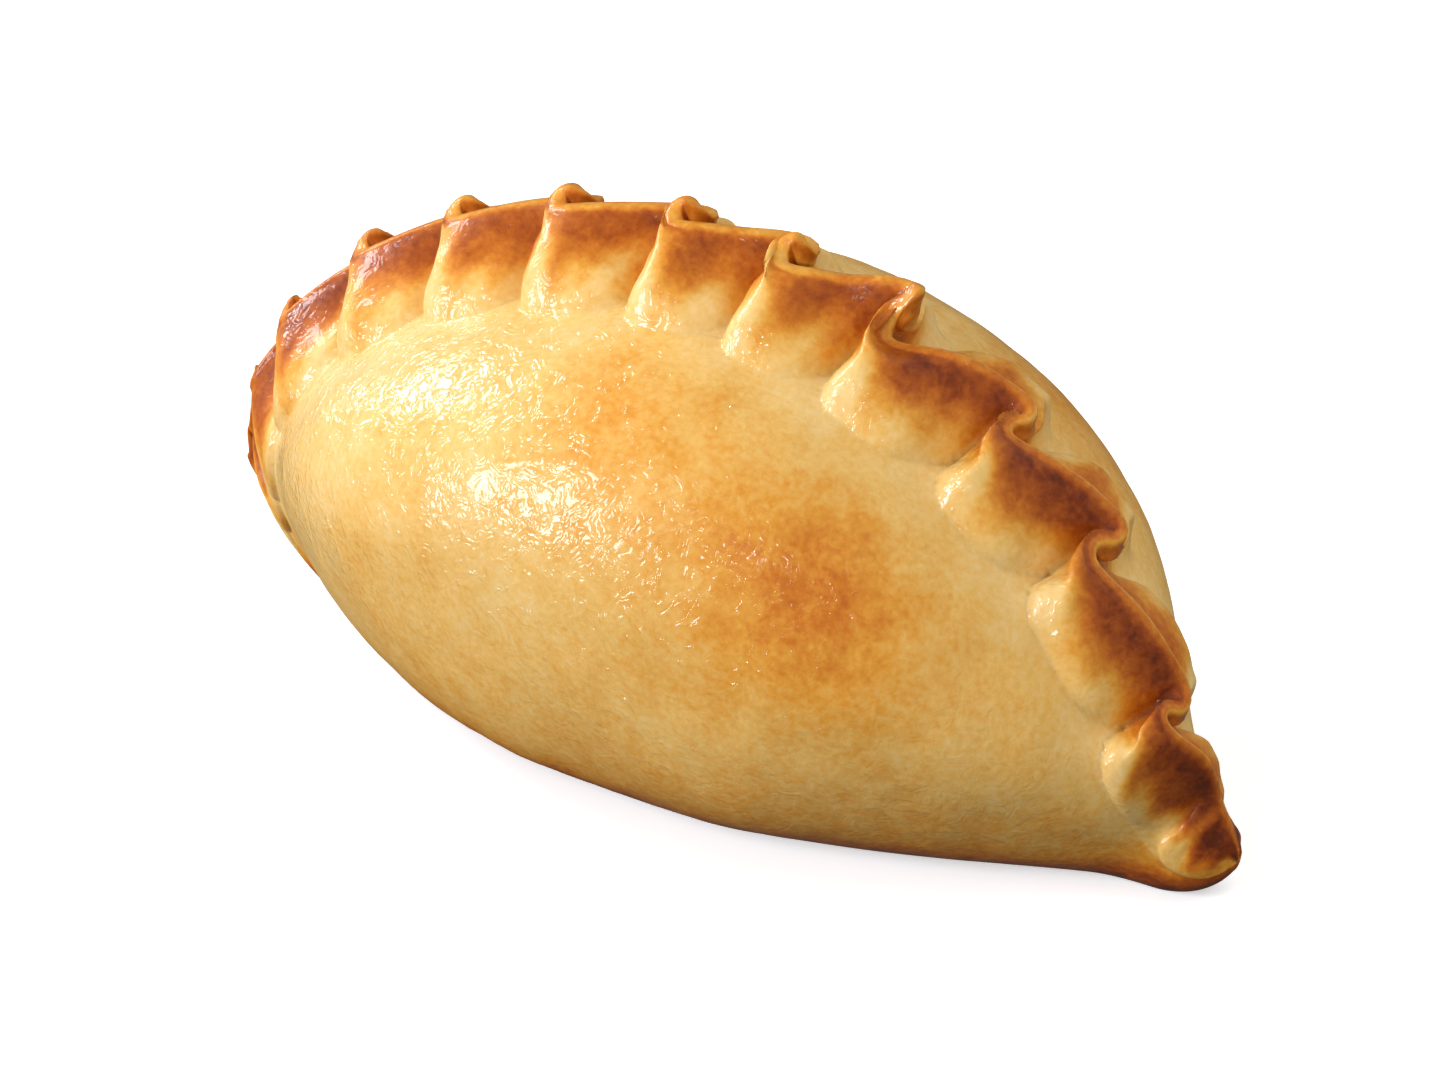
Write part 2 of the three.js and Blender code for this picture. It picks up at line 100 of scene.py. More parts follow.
# Folds: where each one starts along the seam, how far its curl turns back, its tilt and its hood's height
FOLDS = [
    (0.000, 0.10, 0.0, 0.0),
    (0.034, 0.45, 0.3, 0.3),
    (0.084, 0.85, -0.3, 1.8),
    (0.161, 0.95, -0.4, 2.2),
    (0.255, 0.95, -0.4, 2.4),
    (0.335, 0.95, -0.4, 2.2),
    (0.410, 0.95, -0.4, 2.2),
    (0.484, 0.95, -0.2, 2.4),
    (0.549, 0.95, 0.4, 2.6),
    (0.615, 0.85, 2.2, 4.4),
    (0.696, 0.95, 0.8, 0.4),
    (0.770, 1.05, 0.9, 0.3),
    (0.864, 1.10, 0.3, 0.2),
    (0.942, 0.10, 0.1, 0.0),
    (1.000, 0.10, 0.0, 0.0),
]
FOLD_STARTS, FOLD_CURLS, FOLD_TILTS, FOLD_HOODS = zip(*FOLDS)
USUAL_FOLD = 15.0
FIRST_FOLD_FROM = 0.12
LAST_FOLD_TO = 0.8
RIGHT_FOLDS_FROM = 0.53
RIGHT_FOLDS_BY = 0.68
CARRY_FROM = 0.3
CARRY_RUN = 0.4

# Rim curls: at each fold the edge turns back in an S under a lifted ear or hood, and straightens out below
CURL_TURN_LEFT = math.radians(180.0)
CURL_TURN_RIGHT = math.radians(150.0)
CURL_WIDTH_LEFT = 0.13
CURL_WIDTH_RIGHT = 0.11
CURL_STEPS = 720
SLANT_STEPS = 40
SWAY_DEPTH_LEFT = 16.0
SWAY_DEPTH_RIGHT = 11.0
SLIP_DEPTH_LEFT = 9.0
SLIP_SHIFT_LEFT = 0.04
SLIP_DEPTH_RIGHT = 17.0
EAR_AT = 0.02
EAR_HALF = 0.10
EAR_ROUNDING = 0.8
HOOD_AT = 0.93
HOOD_HALF = 0.07
LIFT_DEPTH = 8.0
RIM_BULGE_LEFT = 0.3
RIM_BULGE_RIGHT = 1.0
TIGHTEST = 0.75
LEAST_BENDING = 1e-6
BEAD_LEFT = 0.40
BEAD_RIGHT = 0.10
BEAD_AT = 0.6
BEAD_HALF = 0.8

# Fold lobe: a cushion that hangs from the rim, with its crest at the left and a rounded toe line below
CREST_AT = 0.075
FOLD_WALL = 0.24
LOBE_DROP = 0.7
LOBE_POWER_LEFT = 1.7
LOBE_POWER_RIGHT = 2.2
RIDGE_TOP = 0.16
RIDGE_TOE = 0.05
RIDGE_HALF_TOP = 0.08
RIDGE_HALF_TOE = 0.20
LOBE_FROM = 1.6
BACK_LOBE_FROM = 9.0
TOE_REACH = 18.3
TOE_RISE = 8.0
TOE_RISE_POWER = 4
TOE_PROUD = 2.2
PETAL_PLUMP_LEFT = 0.9
PETAL_PLUMP_RIGHT = 1.3
BACK_PLUMP_LEFT = 0.4
BACK_PLUMP_RIGHT = 2.2
TOE_ROUNDING = 5.0
TOE_PROBE = 0.3
FOLD_ZONE_PAST_TOE = 2.5
FRILL_LEFT = 1.08
FRILL_RIGHT = 0.84

# Mesh fineness
SECTION_POINTS = {"under": 41, "over": 73, "fillet": 25, "fin": 9, "edge": 13}
COLUMNS_PER_FOLD = 28
COLUMN_CROWDING = 0.7
RIM_ROWS = 6
RIM_ZONE = 1.6
FOLD_ROWS = 56
SIDE_ROWS = 46
BASE_ROWS = 4
TIP_LENGTH_LEFT = 2.5
TIP_LENGTH_RIGHT = 0.3
TIP_RINGS = 5
TIP_MARGIN = 0.003
FOLD_FADE_AT_TIPS = 0.03

# Unevenness of the dough: height and spacing of the swells, largest first, and where they are weaker
SWELLS = [(0.35, 17.0), (0.13, 6.0), (0.05, 2.4)]
SWELL_FULL_ABOVE_BASE = 4.0
SWELL_AT_RIM = 0.4
SWELL_FULL_FROM_RIM = 4.0

# Streaks that run down the folds: height, spacing along the seam as a share of it, and length
STREAK = 0.30
STREAK_SPACING = 1.0 / 70.0
STREAK_LENGTH = 13.0
STREAK_FULL_FROM_RIM = 3.0
STREAK_FADE_AT_TOE = 6.0
STREAK_SIDE_SHIFT = 5.0

# Browning of the folds: how dark, how far down from the rim, left and right, and the paler edge on top
FOLD_DARK_LEFT = 0.72
FOLD_DARK_RIGHT = 0.85
FOLD_DARK_FAR_LEFT = 0.08
FAR_LEFT_TO = 0.38
FAR_LEFT_FADE = 0.15
BROWN_RIM = 2.5
BROWN_REACH_LEFT = 9.5
BROWN_REACH_RIGHT = 8.5
BROWN_STREAKS = 0.6
BACK_DARK_RIGHT = 0.8
PALE_RIM = 0.30
PALE_RIM_DEPTH = 1.3

# Flank of a fold, past its crest as a share of the fold, where the browning reaches further down
FLANK_MORE_LEFT = 0.8
FLANK_MORE_RIGHT = 0.6
FLANK_START_LEFT = -0.04
FLANK_START_RIGHT = 0.02
FLANK_RISE = 0.12
FLANK_END_LEFT = 0.62
FLANK_END_RIGHT = 0.75
FLANK_FADE = 0.55

# Ridge of a fold, at its crest, where less browning is left below the rim
RIDGE_SHARE_LEFT = 0.50
RIDGE_SHARE_RIGHT = 0.76
RIDGE_PAST = 0.03
RIDGE_FADE = 0.14
RIDGE_BELOW = 4.0
RIDGE_BELOW_FADE = 3.0

# Browning of the body: at the toes, below them and on the knob along the seam; and painted shade low down by
# height, darker towards the base
BODY_AT_TOES = 0.20
BODY_BELOW = 0.30
BODY_ABOVE_TOES = 3.0
BODY_FADE = 14.0
BODY_UNDER_FOLDS = 0.25
KNOB_BROWNING = [(0.89, 0.10), (0.945, 0.17)]
KNOB_BROWNING_FADE = 0.04
# Painted shade near the base: height in millimetres, and how much darker the crust is made there
LOW_PAINTED_SHADE = [(11.0, 0.17), (4.0, 0.40)]

# Toasted and pale places: middle, radius and change of browning
TOASTED = [
    ((29.0, -28.5, 39.5), 10.0, 0.24),
    ((35.0, -28.0, 33.0), 11.0, 0.08),
    ((15.0, -27.5, 46.0), 10.0, 0.10),
    ((2.0, -24.0, 51.5), 10.0, 0.13),
    ((26.0, -33.0, 27.0), 12.0, 0.05),
    ((-29.0, -31.0, 28.0), 5.0, 0.07),
    ((-37.0, -26.0, 36.0), 12.0, -0.04),
    ((-10.0, 30.0, 38.0), 16.0, 0.18),
    ((28.0, 26.0, 34.0), 12.0, 0.22),
    ((38.0, 14.0, 44.0), 16.0, 0.08),
]
TOASTED_ABOVE_TOES = 4.0
TOASTED_FADE = 6.0

# Egg wash: how much is missing low on the left, low all round, on the left folds and on the back, and where
DRY_LOW_LEFT = 0.75
LOW_LEFT_HEIGHT = 26.0
LOW_LEFT_END = 10.0
LOW_LEFT_RUN = 30.0
DRY_LOW = 0.45
LOW_HEIGHT = 16.0
LOW_FADE = 14.0
DRY_LEFT_FOLDS = 0.55
DRY_BACK = 0.6
BACK_FROM_RIM = 3.0
DRY_FADE = 6.0
LEAST_WASH = 0.1

# Crust colours from pale dough to dark crust, by browning together with the painted shade near the base
CRUST = [
    (0.00, (0.86, 0.68, 0.38)),
    (0.15, (0.84, 0.60, 0.25)),
    (0.30, (0.79, 0.48, 0.125)),
    (0.45, (0.72, 0.32, 0.036)),
    (0.60, (0.58, 0.175, 0.012)),
    (0.75, (0.40, 0.088, 0.005)),
    (0.90, (0.23, 0.038, 0.003)),
    (1.00, (0.12, 0.020, 0.002)),
]

# Range of the noise that is used, and uneven browning: size of the spots and how much they add or take away
NOISE_LOW = 0.3
NOISE_HIGH = 0.7
CLOUDS = (14.0, 0.05)
MOTTLES = (3.2, 0.09)
MOTTLES_ON_PALE = 0.15
GRAIN = (0.8, 0.05)

# Small relief: size, and height in the egg wash and in the dough; droplets are the noise's highest places
WRINKLE_SIZE = 2.6
WRINKLE_IN_WASH = 0.46
WRINKLE_IN_DOUGH = 0.12
DROPLET_SIZE = 1.2
DROPLET_IN_WASH = 0.16
DROPLET_LOW = 0.64
DROPLET_HIGH = 0.82
CRUMB_SIZE = 0.7
CRUMB_IN_DOUGH = 0.03

# Gloss: the egg wash lies in patches over a dull crust
PATCH_SIZE = 5.0
PATCH_LOW = 0.35
PATCH_HIGH = 0.65
PATCH_LEAST = 0.75
WASH_ROUGHNESS = 0.10
WASH_IOR = 1.5
DULLNESS_SIZE = 2.0
DULL_LEAST = 0.45
DULL_MOST = 0.62
CRUST_SPECULAR = 0.25

# Light that enters the dough: how much, and how deep: shares for red, green and blue of one depth
GLOW_THROUGH = 0.12
GLOW_SHARES = (1.0, 0.55, 0.22)
GLOW_DEPTH = 1.6

# Lights: name, azimuth, elevation, distance and size in metres, watts, colour, whether the gloss shows them
LIGHTS = [
    ("key", 179.0, 29.0, 0.65, (0.24, 0.17), 2.1, (0.98, 0.99, 1.06), True),
    ("front_left", -127.0, 14.0, 0.75, (0.20, 0.42), 4.0, (0.97, 0.97, 1.10), True),
    ("ridge_glint", 172.0, 9.0, 0.80, (0.06, 0.10), 0.50, (1.0, 0.99, 0.98), True),
    ("sparkle", -100.0, 44.0, 0.90, (0.03, 0.03), 0.20, (1.0, 0.98, 0.96), True),
    ("sparkle", -90.0, 33.0, 0.90, (0.03, 0.03), 0.20, (1.0, 0.98, 0.96), True),
    ("sparkle", -77.0, 42.0, 0.90, (0.03, 0.03), 0.20, (1.0, 0.98, 0.96), True),
    ("front_fill", -110.0, 30.0, 0.90, (0.70, 0.50), 2.5, (1.0, 0.98, 0.95), False),
    ("overhead", 30.0, 66.0, 0.90, (0.80, 0.80), 3.2, (1.0, 1.0, 1.0), False),
    ("right_fill", -25.0, 16.0, 0.90, (0.60, 0.50), 2.3, (1.0, 0.98, 0.95), False),
    ("back_fill", 62.0, 22.0, 0.90, (0.60, 0.50), 1.3, (1.0, 0.95, 0.88), False),
]
LIT_POINT = (0.0, 0.0, 35.0)

# Surroundings: brightness of the sky from low to high, and a glowing floor, its half width in metres
SKY_LOW = 0.08
SKY_HIGH = 0.20
SKY_BLEND = 0.6
FLOOR_HALF = 2.5
FLOOR_GLOW = 0.45
FLOOR_DROP = 0.05
FLOOR_COLOURS = [(0.0, (0.93, 0.93, 0.93)), (1.0, (0.95, 0.95, 0.945))]
FLOOR_SPOT_SIZE = 40.0
FLOOR_ROUGHNESS = 0.7
FLOOR_SPECULAR = 0.2

# Camera: where the photograph was taken from
AIM = (-5.71, 8.93, 17.11)
CAMERA_AZIMUTH = 33.321
CAMERA_ELEVATION = 28.901
CAMERA_DISTANCE = 483.0
LENS = 100.0
SENSOR = 36.0


def ease(x):
    c = np.clip(x, 0.0, 1.0)
    return c * c * (3.0 - 2.0 * c)


def mix(a, b, share):
    return a + (b - a) * share


def seam_point(t):
    angle = math.pi * t
    left = t < 0.5
    tip = mix(TIP_HEIGHT_LEFT, TIP_HEIGHT_RIGHT, ease(t))
    half = SEAM_HALF_LEFT if left else SEAM_HALF_RIGHT
    power = ARCH_LEFT if left else ARCH_RIGHT
    return np.array([-half * math.cos(angle), tip + (SEAM_HEIGHT - tip) * math.sin(angle) ** power])


def foot_share(t):
    c = math.cos(math.pi * t)
    fan = FAN_LEFT if c > 0 else FAN_RIGHT
    return -c * (fan + (1.0 - fan) * c * c)


def belly_half(share, thinning_right):
    thinning = THINNING_LEFT if share < 0 else thinning_right
    tip = TIP_HALF_LEFT if share < 0 else TIP_HALF_RIGHT
    return mix(tip, BELLY_HALF, max(0.0, 1.0 - share * share) ** thinning)


def right_folds(t):
    """How much a place along the seam belongs to the plump folds of the right half."""
    return ease((t - RIGHT_FOLDS_FROM) / (RIGHT_FOLDS_BY - RIGHT_FOLDS_FROM))


def fold_curve(most_turn, width):
    """The edge of one fold seen from above, for a fold of length 1: its course, its pace and its bending."""
    u = (np.arange(CURL_STEPS) + 0.5) / CURL_STEPS
    turn = most_turn * np.exp(-((np.minimum(u, 1.0 - u) / width) ** 2))
    low, high = -math.pi / 2, 0.0
    for _ in range(SLANT_STEPS):
        slant = (low + high) / 2
        low, high = (low, slant) if np.sin(slant + turn).sum() > 0 else (slant, high)
    pace = CURL_STEPS / np.cos(slant + turn).sum()
    along = pace * np.cos(slant + turn)
    across = pace * np.sin(slant + turn)
    course = [np.concatenate([[0.0], np.cumsum(v) / CURL_STEPS]) for v in (along, across)]
    return {
        "u": u,
        "along": along,
        "across": across,
        "bend_along": np.gradient(along) * CURL_STEPS,
        "bend_across": np.gradient(across) * CURL_STEPS,
        "at": np.arange(CURL_STEPS + 1) / CURL_STEPS,
        "course": course,
        "sway": course[1].max(),
    }


LEFT_CURVE = fold_curve(CURL_TURN_LEFT, CURL_WIDTH_LEFT)
RIGHT_CURVE = fold_curve(CURL_TURN_RIGHT, CURL_WIDTH_RIGHT)


def curve_values(curve, fraction):
    course = [np.interp(fraction, curve["at"], c) for c in curve["course"]]
    keys = ("along", "across", "bend_along", "bend_across")
    return np.array(course + [np.interp(fraction, curve["u"], curve[k]) for k in keys])


def curl(fraction, right):
    """The edge at a place in the fold: slip and sway, how fast it runs along and across, and its bending."""
    values = mix(curve_values(LEFT_CURVE, fraction), curve_values(RIGHT_CURVE, fraction), right)
    return values - np.array([fraction - SLIP_SHIFT_LEFT * (1.0 - right), 0.0, 1.0, 0.0, 0.0, 0.0])


def past_crest(fraction):
    return (fraction - CREST_AT + 1.0) % 1.0


def crest_bump(past, half_width):
    return math.exp(-((min(past, 1.0 - past) / half_width) ** 2))


def along_fold(values, fold, fraction):
    """A value that belongs to each curl, carried over from one curl to the next along the fold."""
    return mix(values[fold], values[fold + 1], float(ease((fraction - CARRY_FROM) / CARRY_RUN)))


def rim_lift(fold, fraction, right):
    """How far the edge is lifted: an ear or a hood over each curl, a bulge between, and a tilt across."""
    sway = curl(fraction, right)[1] / RIGHT_CURVE["sway"]
    bulge = mix(RIM_BULGE_LEFT, RIM_BULGE_RIGHT, right)
    past_ear = (fraction - EAR_AT) % 1.0
    ear = max(0.0, 1.0 - (min(past_ear, 1.0 - past_ear) / EAR_HALF) ** 2) ** EAR_ROUNDING
    hood = crest_bump((fraction - HOOD_AT) % 1.0, HOOD_HALF)
    hood = along_fold(FOLD_HOODS, fold, fraction) * mix(ear, hood, right)
    return hood + bulge * math.sin(math.pi * fraction) ** 2 - along_fold(FOLD_TILTS, fold, fraction) * sway


def quarter_round(x):
    return np.sqrt(1.0 - np.minimum(1.0, x) ** 2)


def near_toe_line(line, d):
    return np.clip(1.0 - (line - d) / TOE_ROUNDING, 0.0, 1.0)


def lobe_height(fraction, d, side, right):
    past = past_crest(fraction)
    run = 1.0 - FOLD_WALL
    down = ease(d / TOE_REACH)
    ridge = mix(RIDGE_TOP, RIDGE_TOE, down) if side > 0 else 0.0
    power = mix(LOBE_POWER_LEFT, LOBE_POWER_RIGHT, right)
    crest = 1.0 + ridge * np.exp(-((min(past, 1.0 - past) / mix(RIDGE_HALF_TOP, RIDGE_HALF_TOE, down)) ** 2))
    if past < run:
        share = past / run
        toe_line = TOE_REACH - TOE_RISE * share**TOE_RISE_POWER
        return (crest - LOBE_DROP * share**power) * quarter_round(near_toe_line(toe_line, d))
    under = (1.0 - LOBE_DROP) * quarter_round(near_toe_line(TOE_REACH - TOE_RISE, d))
    crease = (1.0 - past) / FOLD_WALL
    if side < 0:
        return mix(under, quarter_round(near_toe_line(TOE_REACH, d)), ease(1.0 - crease))
    return mix(under, crest, quarter_round(np.hypot(crease, near_toe_line(TOE_REACH, d))))


def valley_section(height, belly, scale, rim_half):
    """Section between two folds as (height, half width) points from the rim down to the base's middle."""
    thickness = mix(THINNEST_SHEET, 1.0, scale)
    rim = rim_half * thickness
    neck_half = NECK_HALF * thickness
    top = height - FIN_HEIGHT * scale
    widest = WIDEST_AT * top
    flat = BASE_SHARE * belly
    shoulder = min(neck_half + FILLET_START * NECK_FILLET * scale, SHOULDER_MOST * belly)
    neck = min(neck_half, NECK_MOST * shoulder)
    a = np.linspace(-math.pi / 2, 0.0, SECTION_POINTS["under"])
    under = np.stack([widest * (1.0 + np.sin(a)), flat + (belly - flat) * np.cos(a)], 1)
    last = math.acos((shoulder / belly) ** (1.0 / SHOULDER_FULLNESS))
    a = np.linspace(0.0, last, SECTION_POINTS["over"])[1:]
    rise = np.sin(a) ** SHOULDER_FULLNESS
    over = np.stack([widest + (top - widest) * rise, belly * np.cos(a) ** SHOULDER_FULLNESS], 1)
    (v1, y1), (v0, y0) = over[-2:]
    slope = math.atan2(v0 - v1, y1 - y0)
    reach = (y0 - neck) / (1.0 - math.sin(slope))
    climb = min(reach, FILLET_MOST * (height - rim - v0))
    a = np.linspace(slope, math.pi / 2, SECTION_POINTS["fillet"])[1:]
    fillet_v = v0 + climb * (math.cos(slope) - np.cos(a))
    fillet_y = y0 - reach * (np.sin(a) - math.sin(slope))
    fillet = np.stack([fillet_v, fillet_y], 1)
    s = np.linspace(0.0, 1.0, SECTION_POINTS["fin"])[1:]
    fin = np.stack([mix(fillet[-1, 0], height - rim, s), mix(neck, rim, s)], 1)
    a = np.linspace(0.0, math.pi / 2, SECTION_POINTS["edge"])[1:]
    edge = np.stack([height - rim + rim * np.sin(a), rim * np.cos(a)], 1)
    return np.concatenate([[(0.0, 0.0)], under, over, fillet, fin, edge])[::-1]


def knob_ring(share, turn, side):
    """Ring of the knob at a share of the way to its end; turn runs from 0 on top to half a turn below."""
    x, y, z = KNOB_MIDDLE
    size = math.cos(share * math.pi / 2)
    out = KNOB_HALF * size * np.maximum(0.0, np.sin(turn)) ** KNOB_ROUNDING
    up = np.where(np.cos(turn) > 0, KNOB_RISE, KNOB_DROP) * size * np.cos(turn)
    far = np.full(len(turn), x + KNOB_LENGTH * math.sin(share * math.pi / 2))
    return np.stack([far, y - side * out, np.maximum(0.0, z + up)], 1)


def sample(section, marks, distances):
    v = np.interp(distances, marks, section[:, 0])
    y = np.interp(distances, marks, section[:, 1])
    return np.stack([v, y], -1)


def row_distances(scale, fold_zone, base_edge, total):
    rim_zone = RIM_ZONE * scale
    rim = np.linspace(0.0, rim_zone, RIM_ROWS, endpoint=False)
    folds = np.linspace(rim_zone, fold_zone, FOLD_ROWS, endpoint=False)
    side = np.linspace(fold_zone, base_edge, SIDE_ROWS, endpoint=False)
    base = np.linspace(base_edge, total, BASE_ROWS + 1)
    return np.concatenate([rim, folds, side, base])


def half_ring(section, scale, fraction, edge, strength, side):
    """One side of a ring from rim to base: height, half width, slip, distance from the rim and turn."""
    steps = np.hypot(*np.diff(section, axis=0).T)
    marks = np.concatenate([[0.0], np.cumsum(steps)])
    total, base_edge = marks[-1], marks[-2]
    reach = min(TOE_REACH * scale, TOE_MOST * total)
    at_toe, past_toe = sample(section, marks, np.array([reach, reach + TOE_PROBE * scale]))
    tangent = (past_toe - at_toe) / np.hypot(*(past_toe - at_toe))
    toe = at_toe + np.array([tangent[1], -tangent[0]]) * TOE_PROUD * scale
    fold_zone = min((TOE_REACH + FOLD_ZONE_PAST_TOE) * scale, FOLD_ZONE_MOST * total)
    distances = row_distances(scale, fold_zone, base_edge, total)
    d = distances / scale
    right = strength["right"]
    lobe = lobe_height(fraction, d, side, right) * strength["lobe"]
    slip, sway, along, across, bend_along, bend_across = edge
    share = np.clip(d / TOE_REACH, 0.0, 1.0)[:, None]
    valley = sample(section, marks, distances)
    chord = toe - section[0]
    outward = np.array([chord[1], -chord[0]]) / np.hypot(*chord) * scale
    front_plump = mix(PETAL_PLUMP_LEFT, PETAL_PLUMP_RIGHT, right) * np.sin(math.pi * share)
    back_plump = mix(BACK_PLUMP_LEFT, BACK_PLUMP_RIGHT, right) * np.sin(math.pi * share**2)
    petal = mix(section[0], toe, share) + outward * (front_plump if side > 0 else back_plump)
    grown = ease(d / (LOBE_FROM if side > 0 else BACK_LOBE_FROM))
    point = mix(valley, petal, (lobe * grown)[:, None])
    up = strength["rise"] * (1.0 - ease(d / LIFT_DEPTH))
    swing = strength["curl"] * (1.0 - ease(d / mix(SWAY_DEPTH_LEFT, SWAY_DEPTH_RIGHT, right)))
    shove = strength["curl"] * (1.0 - ease(d / mix(SLIP_DEPTH_LEFT, SLIP_DEPTH_RIGHT, right)))
    pace = np.hypot(1.0 + shove * along, swing * across)
    bead_size = mix(BEAD_LEFT, BEAD_RIGHT, right) * scale * strength["lobe"]
    bead = bead_size * np.exp(-(((d - BEAD_AT) / BEAD_HALF) ** 2))
    sheet = np.minimum(point[:, 1], NECK_HALF * scale) + bead
    turning = swing * ((1.0 + shove * along) * bend_across - shove * across * bend_along)
    inward = np.maximum(LEAST_BENDING, side * turning / (strength["length"] * pace**3))
    held = np.minimum(sheet, TIGHTEST / inward)
    out = point[:, 1] + bead - sheet + held * (1.0 + shove * along) / pace
    out = out + side * strength["length"] * swing * sway
    slide = strength["length"] * shove * slip - side * held * swing * across / pace
    turn = math.pi * distances / total
    return np.stack([point[:, 0] + up, out, slide, d, turn], 1)


def ring(phase):
    """One closed ring up the front, over the rim and down the back: its points, and facts for the crust."""
    fold = min(max(int(math.floor(phase)), 0), len(FOLDS) - 2)
    in_fold = phase - fold
    start = FIRST_FOLD_FROM if fold == 0 else 0.0
    stop = LAST_FOLD_TO if fold == len(FOLDS) - 2 else 1.0
    fraction = mix(start, stop, in_fold)
    t = TIP_MARGIN + (1.0 - 2.0 * TIP_MARGIN) * mix(FOLD_STARTS[fold], FOLD_STARTS[fold + 1], in_fold)
    seam = seam_point(t)
    share = foot_share(t)
    foot_half = SEAM_HALF_LEFT - FOOT_INSET_LEFT if share < 0 else SEAM_HALF_RIGHT - FOOT_INSET_RIGHT
    foot = foot_half * share
    height = math.hypot(seam[0] - foot, seam[1])
    up = np.array([seam[0] - foot, seam[1]]) / height
    along = seam_point(t + TIP_MARGIN / 2) - seam_point(t - TIP_MARGIN / 2)
    along = along / np.hypot(*along)
    shrink = FIN_SHRINK_LEFT if share < 0 else FIN_SHRINK_RIGHT
    scale = height / (height + shrink) * (SEAM_HEIGHT + shrink) / SEAM_HEIGHT
    scale = scale * mix(FRILL_LEFT, FRILL_RIGHT, ease(t))
    lobe = float(ease(t / FOLD_FADE_AT_TIPS) * ease((1.0 - t) / FOLD_FADE_AT_TIPS))
    length = np.hypot(*(seam_point(FOLD_STARTS[fold + 1]) - seam_point(FOLD_STARTS[fold])))
    right = float(right_folds(t))
    strength = {
        "lobe": lobe,
        "right": right,
        "length": length,
        "curl": lobe * min(1.0, math.sqrt(length / USUAL_FOLD)) * along_fold(FOLD_CURLS, fold, fraction),
        "rise": lobe * scale * rim_lift(fold, fraction, right),
    }
    edge = curl(fraction, right)
    front_belly = belly_half(share, THINNING_RIGHT)
    back_belly = belly_half(share, BACK_THINNING_RIGHT) * BACK_BELLY
    rim_half = mix(RIM_HALF_LEFT, RIM_HALF_RIGHT, right)
    front_section = valley_section(height, front_belly, scale, rim_half)
    back_section = valley_section(height, back_belly, scale, rim_half)
    front = half_ring(front_section, scale, fraction, edge, strength, 1.0)
    back = half_ring(back_section, scale, 1.0 - fraction, edge, strength, -1.0)
    bend = (BEND_LEFT if share < 0 else BEND_RIGHT) * share * share
    rows = np.concatenate([front[::-1], back[1:-1]])
    side = np.concatenate([np.full(len(front), 1.0), np.full(len(back) - 2, -1.0)])
    v, y, slip, d, turn = rows.T
    bow_half = SEAM_BOW_HALF if t < SEAM_BOW_AT else SEAM_BOW_HALF_TO_TIP
    lean = SEAM_LEAN + SEAM_BOW * math.exp(-(((t - SEAM_BOW_AT) / bow_half) ** 2))
    shift = bend + lean * np.clip(v / height, 0.0, 1.0) ** LEAN_POWER
    points = np.stack([foot + v * up[0] + slip * along[0], shift - side * y, v * up[1] + slip * along[1]], 1)
    knob = np.clip((t - KNOB_FROM) / KNOB_RUN, 0.0, 1.0)
    points = mix(points, knob_ring(knob, turn, side), ease(knob))
    past = past_crest(fraction) * np.ones(len(rows))
    past = np.where(side > 0, past, past_crest(1.0 - fraction))
    facts = np.stack([d, past, np.full(len(rows), t), side], 1)
    return points, facts


def rounded_tip(points, length):
    """Smaller rings that close the pastry beyond its last ring, and the tip's point."""
    middle = points.mean(0)
    rings = []
    for i in range(1, TIP_RINGS + 1):
        a = math.pi / 2 * i / (TIP_RINGS + 1)
        rings.append(middle + (points - middle) * math.cos(a) + np.array([length * math.sin(a), 0.0, 0.0]))
    return rings, middle + np.array([length, 0.0, 0.0])


def pastry_grid():
    """All rings from the left tip to the right tip, the two tip points, and the facts of every ring point."""
    columns = (len(FOLDS) - 1) * COLUMNS_PER_FOLD
    rings = []
    facts = []
    for i in range(columns + 1):
        c = i / COLUMNS_PER_FOLD
        points, fact = ring(c - COLUMN_CROWDING * math.sin(2.0 * math.pi * c) / (2.0 * math.pi))
        rings.append(points)
        facts.append(fact)
    left_rings, left_point = rounded_tip(rings[0], -TIP_LENGTH_LEFT)
    right_rings, right_point = rounded_tip(rings[-1], TIP_LENGTH_RIGHT)
    rings = left_rings[::-1] + rings + right_rings
    facts = [facts[0]] * TIP_RINGS + facts + [facts[-1]] * TIP_RINGS
    return np.array(rings), np.array(facts), left_point, right_point


def pastry_faces(count, size):
    i, j = np.meshgrid(np.arange(count - 1), np.arange(size), indexing="ij")
    a = i * size + j
    b = i * size + (j + 1) % size
    quads = np.stack([a, a + size, b + size, b], -1).reshape(-1, 4).tolist()
    last = (count - 1) * size
    left_point = count * size
    for j in range(size):
        after = (j + 1) % size
        quads.append((left_point, j, after))
        quads.append((left_point + 1, last + after, last + j))
    return quads


def swell_height(points):
    """Unevenness of the dough at each point, from three sizes of swell."""
    total = np.zeros(len(points))
    for height, spacing in SWELLS:
        total += height * np.array([noise.noise(Vector(p / spacing)) for p in points])
    return total


def streaks(d, t, side):
    """Uneven streaks down the folds, from -1 to 1, none at the rim and past the toes."""
    places = np.stack([t / STREAK_SPACING, d / STREAK_LENGTH, STREAK_SIDE_SHIFT * side], 1)
    values = np.array([noise.noise(Vector(p)) for p in places])
    return values * ease(d / STREAK_FULL_FROM_RIM) * ease((TOE_REACH - d) / STREAK_FADE_AT_TOE)


